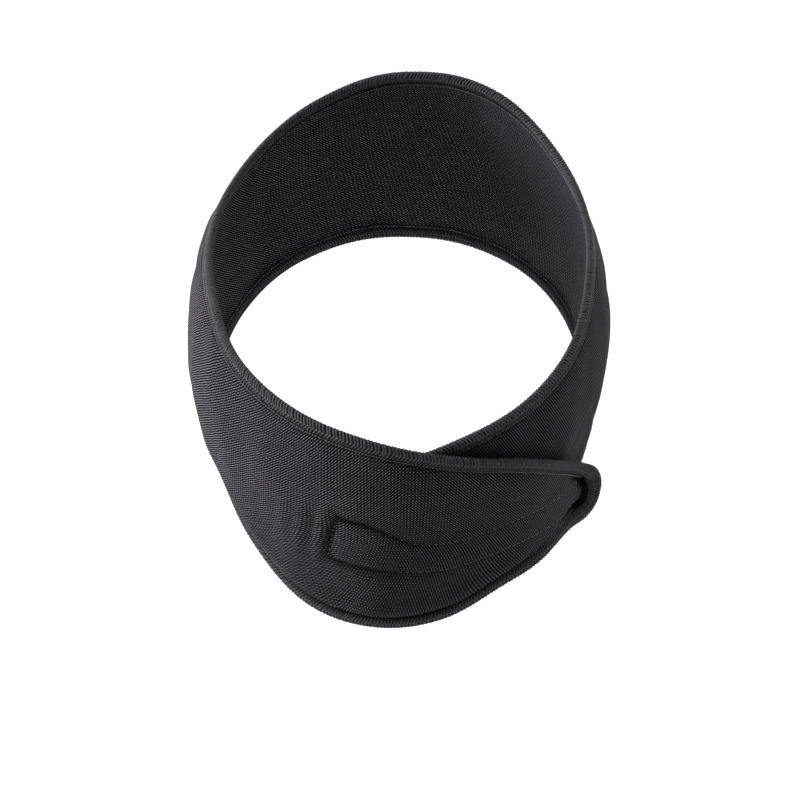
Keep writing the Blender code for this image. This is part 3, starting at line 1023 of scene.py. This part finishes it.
STITCH_STRAY = 0.09
BAR_COLUMNS = ("name", "start", "slant", "width", "height", "lift", "first", "last", "stations")
BARS = (
    ("looper_bars", 0.0, 0.0014, 0.00084, 0.00056, 0.00014, 0.02, 0.98, 15),
    ("return_bars", 0.5, 0.0014, 0.00046, 0.00030, 0.00002, 0.04, 0.96, 11),
)


def bar_paths(start, slant, lift, first, last, stations):
    """Middle lines of the bars. Each goes round the roll's section from one share to another. On each face
    it slants along the edge to the middle line of stitches and back again, which makes a row of chevrons.
    The stitches stray a little, as sewn ones do."""
    random = np.random.default_rng(7)
    at = stitch_arc(np.arange(STITCHES) + start + random.normal(0, STITCH_STRAY, STITCHES))
    t = np.linspace(0, 1, stations)
    around = first + (last - first) * t
    arc = at[:, None] + slant * (1 - np.abs(4 * np.minimum(around, 1 - around) - 1))
    around = around + 0 * arc
    return roll_point(arc, around, lift), roll_point(arc, around, 2 * lift)


bar_thread = sewing_thread("overlock_looper_thread", worn=1.1)
for row in BARS:
    bar = dict(zip(BAR_COLUMNS, row))
    lines = bar_paths(*(bar[name] for name in ("start", "slant", "lift", "first", "last", "stations")))
    thread = bar_thread if bar["name"] == "looper_bars" else ground_thread
    threads = add_threads(bar["name"], thread, *lines, bar["width"], bar["height"], "overlock_thread")

# The needle rows run along the roll's inner side and its middle, on both faces. The inner row sinks out of
# sight round the tip.
NEEDLE_SHARE = 0.86
NEEDLE_SINK_LENGTH = 0.026
NEEDLE_COLUMNS = ("name", "reach", "out", "rise", "thread", "sink")
NEEDLE_ROWS = (
    ("inner", -0.0047, 0.00088, 0.00026, 0.00036, 0.0010),
    ("middle", -0.0018, 0.00112, 0.00024, 0.00030, 0.0),
)

needle_t = np.linspace(0, 1, 5)
needle_arc = stitch_arc(np.arange(STITCHES)[:, None] + NEEDLE_SHARE * (needle_t - 0.5))
needle_from_tip = np.abs(np.mod(needle_arc + OUTLINE_LENGTH / 2, OUTLINE_LENGTH) - OUTLINE_LENGTH / 2)
# The needle thread is painted in the highlight colour, for its glints.
needle_thread = sewing_thread("overlock_needle_thread", 1.2, THREAD_HIGHLIGHT_COLOR)
for row in NEEDLE_ROWS:
    needle = dict(zip(NEEDLE_COLUMNS, row))
    high = needle["out"] + needle["rise"] * np.sin(np.pi * needle_t)
    high = high - needle["sink"] * (1 - ease(needle_from_tip / NEEDLE_SINK_LENGTH))
    reach = needle["reach"] + 0 * needle_arc
    for face_name, face in (("outer", 1.0), ("inner", -1.0)):
        add_threads(
            f"{needle['name']}_needle_row_{face_name}_face",
            needle_thread,
            edge_point(needle_arc, reach, face * high),
            edge_point(needle_arc, reach, face * (high + LIFTED)),
            needle["thread"],
            needle["thread"],
            "overlock_thread",
        )


# ---- Hook and loop tapes ----
# The outer tail closes with a strip of woven nylon tape with moulded hooks, sewn to its inner face. They grip
# a strip of brushed loop tape on the outer face of the other tail. Each tape is sewn down all round, close
# to its edge, with a plain lockstitch that shows on both faces of the cloth.
LOOP_TAPE_LENGTH = 0.080
LOOP_TAPE_SET_BACK = 0.010
TAPE_BASE = 0.00055
TAPE_EDGE_ROUND = 0.0002
TAPE_COLUMN = 0.0016
HOOK_ALONG = 0.0013
HOOK_ACROSS = 0.0011
HOOK_REACH = 0.00056
HOOK_ROOT = 0.4
HOOK_BEND = 2.3
HOOK_THREAD = 0.00022
HOOK_MARGIN = 0.003
PILE_LOOPS = 1500
PILE_SPAN = 0.0009
PILE_SIZES = (0.6, 1.2)
PILE_THREAD = 0.00014
LOCKSTITCH_PITCH = 0.0026
LOCKSTITCH_SHARE = 0.80
LOCKSTITCH_UNDER = 0.4
LOCKSTITCH_POINTS = 80
LOCKSTITCH_THREAD = 0.00042
LOCKSTITCH_SINK = 0.00032
HOOK_COLOR = (0.012, 0.012, 0.013, 1.0)
LOOP_PILE_COLOR = (0.020, 0.020, 0.022, 1.0)
TAPE_DARK = (0.004, 0.004, 0.004, 1.0)


def tape_place(tape, length, share, inset=0.0):
    """Length along the outer tail and distance across the tape's middle, for a length along the tape and a
    share of its width inside an inset. The tape widens upwards near its end, which is slanted."""
    across = inset + share * (TAPE_WIDTH + tape_rise(length, tape["end"]) - 2 * inset) - TAPE_WIDTH / 2
    slant = TAPE_END_SLANT * ease(1 + (length - tape["end"]) / TAPE_RISE_TO_END)
    return length - slant * across, across


def tape_point(tape, length, across, off):
    """Point at a length along the outer tail and a distance across the tape's middle, on the tape's own
    tail, and a distance off that tail's face."""
    turn = turn_at(length)
    height = tape_centre(turn) + across
    return cloth_point(turn + tape["offset"], height, tape["face"] * (CLOTH_THICKNESS / 2 + off))


def tape_finish(name, color, pitch, gloss):
    """Finish of a narrow woven tape: warp ends along it, crossed by weft, in slightly uneven black."""
    tape = Finish(name, {"Specular IOR Level": gloss, "Sheen Weight": 0.1, "Sheen Roughness": 0.4})
    along, across, uv = tape.place()
    patches = tape.noise(uv, 300.0, 3.0)
    weave = (along / pitch).wave() * (across / pitch).wave()
    tape.set({
        "Base Color": tape.mixed(patches * 0.5 + weave * 0.25 + 0.25, TAPE_DARK, color),
        "Roughness": 0.55 + patches * 0.3,
        "Normal": tape.bumped(weave, 0.00015),
    })
    return tape


def add_tape(tape, finish):
    """The tape's woven base: a flat section with rounded selvedges along the tail, closed at its ends."""
    inset = TAPE_EDGE_ROUND / TAPE_WIDTH
    middle = np.linspace(inset, 1 - inset, 13)[1:-1]
    share = np.concatenate([[inset], middle, [1 - inset, 1, 1, 1 - inset], middle[::-1], [inset, 0, 0]])
    rise = np.concatenate([[0], 0 * middle, [0, 0.3, 0.7, 1], 1 + 0 * middle, [1, 0.7, 0.3]])
    lengths = np.linspace(tape["start"], tape["end"], round((tape["end"] - tape["start"]) / TAPE_COLUMN))
    length, across = tape_place(tape, lengths + 0 * share[:, None], share[:, None] + 0 * lengths)
    points = tape_point(tape, length, across, TAPE_BASE * rise[:, None])
    if tape["face"] > 0:
        points = points[::-1]
    faces, _ = grid_faces(len(share), len(lengths), True, False)
    ring = np.arange(len(share))[None] * len(lengths)
    caps = np.vstack([ring[:, ::-1], ring + len(lengths) - 1])
    piece = add_piece(tape["name"], points, [faces, caps], finish, np.stack([length, across], axis=-1))
    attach(piece, "root")
    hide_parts(tape["name"])
    return piece


def lockstitches(tape, name, off):
    """One run of lockstitches round the tape, a little inside its edge, at a distance off the tail's face.
    They sink into the cloth towards the hook tape's end."""
    along = np.linspace(tape["start"] + TAPE_STITCH_INSET, tape["end"] - TAPE_STITCH_INSET, LOCKSTITCH_POINTS)
    side = np.linspace(0, 1, LOCKSTITCH_POINTS // 4)
    lengths = np.concatenate([along, along[-1] + 0 * side, along[::-1], along[0] + 0 * side])
    shares = np.concatenate([0 * along, side, 1 + 0 * along, side[::-1]])
    length, across = tape_place(tape, lengths, shares, TAPE_STITCH_INSET)
    gone = running_sum(np.hypot(np.diff(length), np.diff(across)))
    count = round(gone[-1] / LOCKSTITCH_PITCH)
    t = np.linspace(0, 1, 6)
    at = (np.arange(count)[:, None] + 0.5 + LOCKSTITCH_SHARE * (t - 0.5)) * gone[-1] / count
    run = np.interp(at, gone, length), np.interp(at, gone, across)
    sunk = LOCKSTITCH_SINK * near_end(turn_at(run[0]))
    rise = LOCKSTITCH_THREAD * (np.sin(np.pi * t) - LOCKSTITCH_UNDER) - sunk
    lines = [tape_point(tape, *run, off + np.sign(off) * rise + lift) for lift in (0.0, LIFTED)]
    return add_threads(name, lockstitch_thread, *lines, LOCKSTITCH_THREAD, LOCKSTITCH_THREAD, tape["name"])


# The lockstitch thread is painted in the highlight colour, for its glints.
lockstitch_thread = sewing_thread("lockstitch_thread", 0.8, THREAD_HIGHLIGHT_COLOR)
LOOP_END = TAPE_END - LOOP_TAPE_SET_BACK
TAPE_COLUMNS = ("name", "start", "end", "offset", "face")
TAPES = (
    ("hook_tape", TAPE_START, TAPE_END, 0.0, -1.0),
    ("loop_tape", LOOP_END - LOOP_TAPE_LENGTH, LOOP_END, -360.0, 1.0),
)
HOOK_TAPE, LOOP_TAPE = (dict(zip(TAPE_COLUMNS, row)) for row in TAPES)
hook_tape = add_tape(HOOK_TAPE, tape_finish("black_hook_tape", HOOK_COLOR, pitch=0.0005, gloss=0.3))
loop_tape = add_tape(LOOP_TAPE, tape_finish("black_loop_tape", LOOP_PILE_COLOR, pitch=0.0004, gloss=0.1))

hook_along = np.arange(TAPE_START + HOOK_MARGIN, TAPE_END - HOOK_MARGIN, HOOK_ALONG)
hook_rows = round((TAPE_WIDTH - 2 * HOOK_MARGIN) / HOOK_ACROSS)
hook_share = np.linspace(0, 1, hook_rows)[:, None] + 0 * hook_along
hook_turned = np.where(np.arange(hook_rows) % 2, 1.0, -1.0)[:, None] + 0 * hook_along
hook_t = np.linspace(0, 1, 5)
hook_reach = HOOK_REACH * (hook_t - HOOK_ROOT) * ease(hook_t)
hook_off = TAPE_BASE + (TAPE_THICKNESS - TAPE_BASE - HOOK_THREAD / 2) * np.sin(HOOK_BEND * hook_t)
hook_length, hook_side = tape_place(HOOK_TAPE, hook_along + 0 * hook_share, hook_share, HOOK_MARGIN)
hook_lengths = hook_length.reshape(-1, 1) + hook_turned.reshape(-1, 1) * hook_reach
hook_sides = hook_side.reshape(-1, 1) + 0 * hook_lengths
hook_lines = [tape_point(HOOK_TAPE, hook_lengths, hook_sides + side, hook_off) for side in (0.0, LIFTED)]
hook_nylon = tape_finish("black_hook_nylon", HOOK_COLOR, pitch=0.0005, gloss=0.4)
hooks = add_threads("hooks", hook_nylon, *hook_lines, HOOK_THREAD, HOOK_THREAD, "hook_tape")

random = np.random.default_rng(11)
pile_t = np.linspace(0, 1, 6)
pile_turned = random.uniform(0, 2 * np.pi, (PILE_LOOPS, 1))
pile_size = random.uniform(*PILE_SIZES, (PILE_LOOPS, 1))
pile_room = LOOP_TAPE["start"] + HOOK_MARGIN, LOOP_TAPE["end"] - HOOK_MARGIN
pile_along = random.uniform(*pile_room, (PILE_LOOPS, 1))
pile_share = random.uniform(0, 1, (PILE_LOOPS, 1))
pile_length, pile_side = tape_place(LOOP_TAPE, pile_along, pile_share, HOOK_MARGIN)
pile_lengths = pile_length + PILE_SPAN * pile_size * (pile_t - 0.5) * np.cos(pile_turned)
pile_sides = pile_side + PILE_SPAN * pile_size * (pile_t - 0.5) * np.sin(pile_turned)
pile_room_off = TAPE_THICKNESS - TAPE_BASE - PILE_THREAD
pile_off = TAPE_BASE + pile_room_off * np.sin(np.pi * pile_t) * pile_size / PILE_SIZES[1]
pile_lines = [tape_point(LOOP_TAPE, pile_lengths, pile_sides, pile_off + lift) for lift in (0.0, LIFTED)]
loop_nylon = tape_finish("black_loop_nylon", LOOP_PILE_COLOR, pitch=0.0004, gloss=0.2)
pile = add_threads("loop_pile", loop_nylon, *pile_lines, PILE_THREAD, PILE_THREAD, "loop_tape")

tape_threads = [
    lockstitches(HOOK_TAPE, "hook_tape_stitches_outer", -CLOTH_THICKNESS),
    lockstitches(HOOK_TAPE, "hook_tape_stitches_inner", TAPE_BASE),
    lockstitches(LOOP_TAPE, "loop_tape_stitches_outer", TAPE_BASE),
    lockstitches(LOOP_TAPE, "loop_tape_stitches_inner", -CLOTH_THICKNESS),
]


# ---- Area of the strip ----
# The cloth is one flat strip, cut to its outline and worn a little stretched. Its edge threads and its tapes
# go with it.
step_middles = course_lengths[1:] - course_steps / 2
strip_area = float(np.sum(course(turn_at(step_middles))[1] * course_steps))
